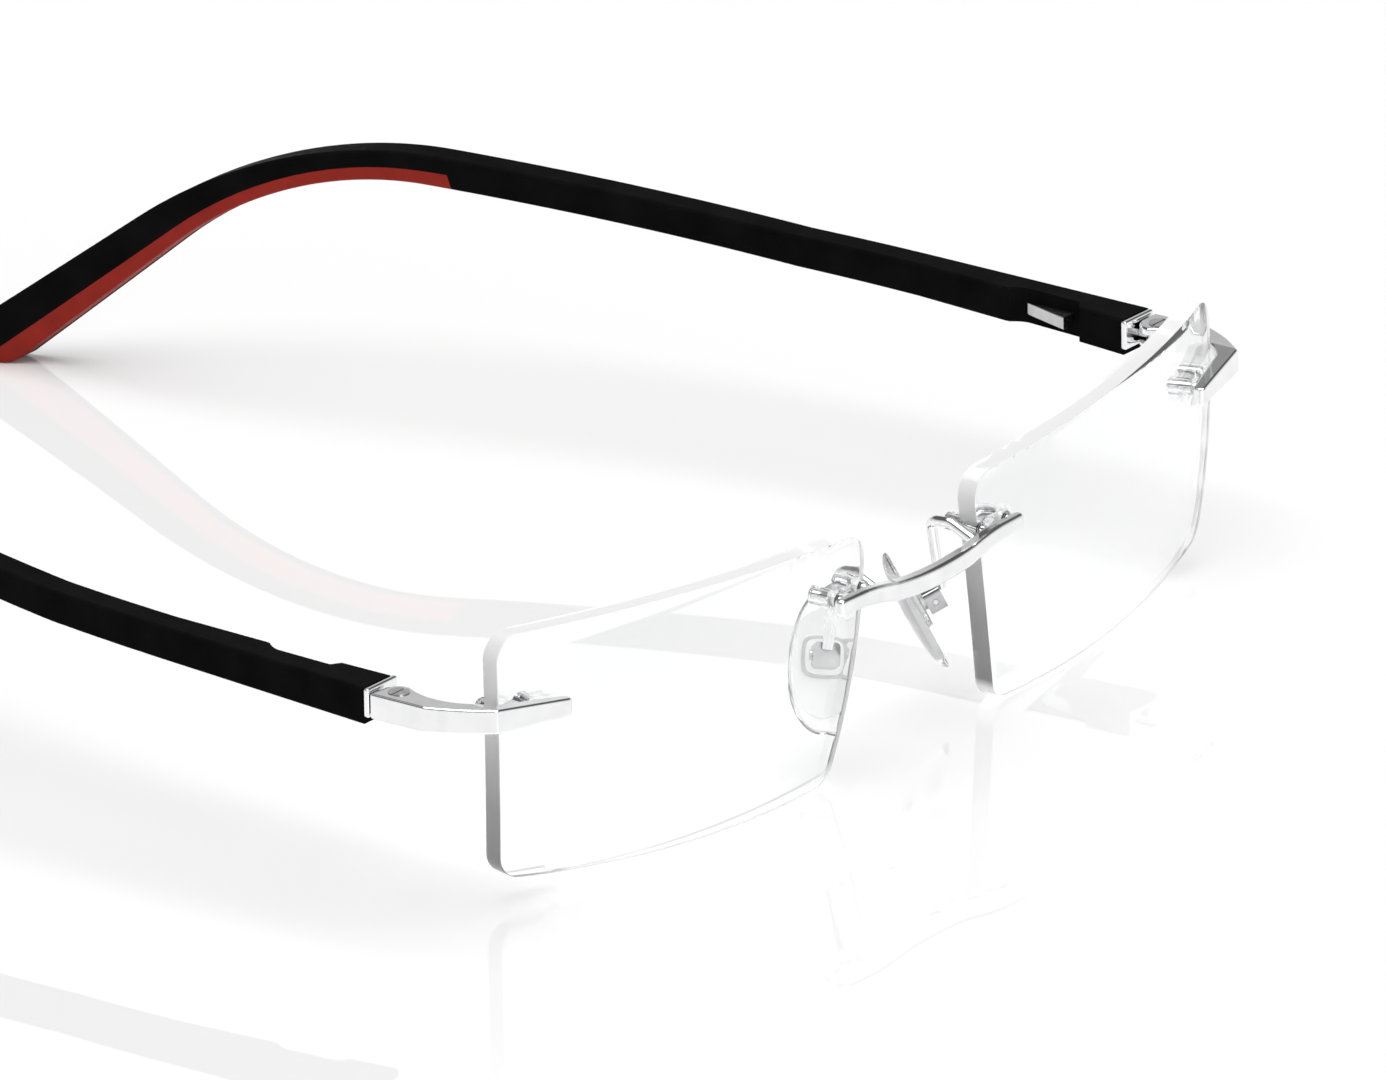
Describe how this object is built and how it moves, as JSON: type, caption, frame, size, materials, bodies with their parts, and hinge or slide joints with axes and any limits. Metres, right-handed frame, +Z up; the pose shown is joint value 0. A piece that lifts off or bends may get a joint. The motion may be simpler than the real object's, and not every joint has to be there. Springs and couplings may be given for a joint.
{
  "type": "rimless eyeglasses",
  "caption": "Rimless eyeglasses: two clear drilled lenses joined by a chrome bridge, silicone nose pads and slim black temples that fold on spring hinges.",
  "frame": {"origin": "on the supporting surface, under the middle of the open glasses' bounding box", "axes": "+X to the wearer's left, +Y from the lenses back along the temples (the front faces -Y), +Z up"},
  "size_m": [0.1362, 0.154, 0.0296],
  "materials": {
    "lens_clear": "hard-coated, polished",
    "bush_clear": "clear, moulded",
    "chrome_bright": "polished",
    "steel": "machined",
    "nylon": "moulded",
    "temple_black": "satin",
    "strip_red": "soft matt",
    "clip_bright": "satin",
    "core_frosted": "clear, softly frosted",
    "pad_clear": "clear silicone"
  },
  "bodies": {
    "front": {"bridge": "chrome_bright", "lens_left": "lens_clear", "lens_right": "lens_clear", "outer_bush_left": "bush_clear", "outer_bush_right": "bush_clear", "inner_bush_left": "bush_clear", "inner_bush_right": "bush_clear", "endpiece_left": "chrome_bright", "endpiece_right": "chrome_bright", "hinge_screw_left": "steel", "hinge_screw_right": "steel", "pad_case_left": "chrome_bright", "pad_case_right": "chrome_bright", "pad_screw_left": "steel", "pad_screw_right": "steel", "pad_arm_left": "chrome_bright", "pad_arm_right": "chrome_bright"},
    "washers_left": {"hinge_washers_left": "nylon"},
    "slider_left": {"hinge_slider_left": "steel"},
    "temple_left": {"temple_left": "temple_black", "tip_strip_left": "strip_red", "recess_clip_left": "clip_bright", "hinge_box_left": "chrome_bright", "coil_spring_left": "steel"},
    "pad_left": {"nose_pad_left": "pad_clear", "pad_insert_left": "core_frosted"},
    "washers_right": {"hinge_washers_right": "nylon"},
    "slider_right": {"hinge_slider_right": "steel"},
    "temple_right": {"temple_right": "temple_black", "tip_strip_right": "strip_red", "recess_clip_right": "clip_bright", "hinge_box_right": "chrome_bright", "coil_spring_right": "steel"},
    "pad_right": {"nose_pad_right": "pad_clear", "pad_insert_right": "core_frosted"}
  },
  "joints": [
    {"name": "fold_left", "type": "hinge", "parent": "front", "child": "washers_left", "pos_m": [0.06585, -0.0575, 0.0217], "axis": [0, 0, 1], "range_deg": [0, 80]},
    {"name": "flex_left", "type": "hinge", "parent": "washers_left", "child": "slider_left", "pos_m": [0.06585, -0.0575, 0.0217], "axis": [0, 0, 1], "range_deg": [-12, 0], "stiffness_Nm_per_rad": 0.15, "springref_deg": 2.86},
    {"name": "spring_left", "type": "slide", "parent": "slider_left", "child": "temple_left", "axis": [0, 1, 0], "range_m": [0, 0.0006]},
    {"name": "pad_rock_left", "type": "hinge", "parent": "front", "child": "pad_left", "pos_m": [0.01, -0.0689, 0.0122], "axis": [0.6425, 0.7603, 0.0958], "range_deg": [-8, 8]},
    {"name": "fold_right", "type": "hinge", "parent": "front", "child": "washers_right", "pos_m": [-0.06585, -0.0575, 0.0217], "axis": [0, 0, -1], "range_deg": [0, 73]},
    {"name": "flex_right", "type": "hinge", "parent": "washers_right", "child": "slider_right", "pos_m": [-0.06585, -0.0575, 0.0217], "axis": [0, 0, -1], "range_deg": [-12, 0], "stiffness_Nm_per_rad": 0.15, "springref_deg": 2.86},
    {"name": "spring_right", "type": "slide", "parent": "slider_right", "child": "temple_right", "axis": [0, 1, 0], "range_m": [0, 0.0006]},
    {"name": "pad_rock_right", "type": "hinge", "parent": "front", "child": "pad_right", "pos_m": [-0.01, -0.0689, 0.0122], "axis": [-0.6425, 0.7603, 0.0958], "range_deg": [-8, 8]}
  ],
  "couplings": [
    {"joint": "spring_left", "follows": "flex_left", "m_per_rad": -0.0026},
    {"joint": "spring_right", "follows": "flex_right", "m_per_rad": -0.0026}
  ]
}
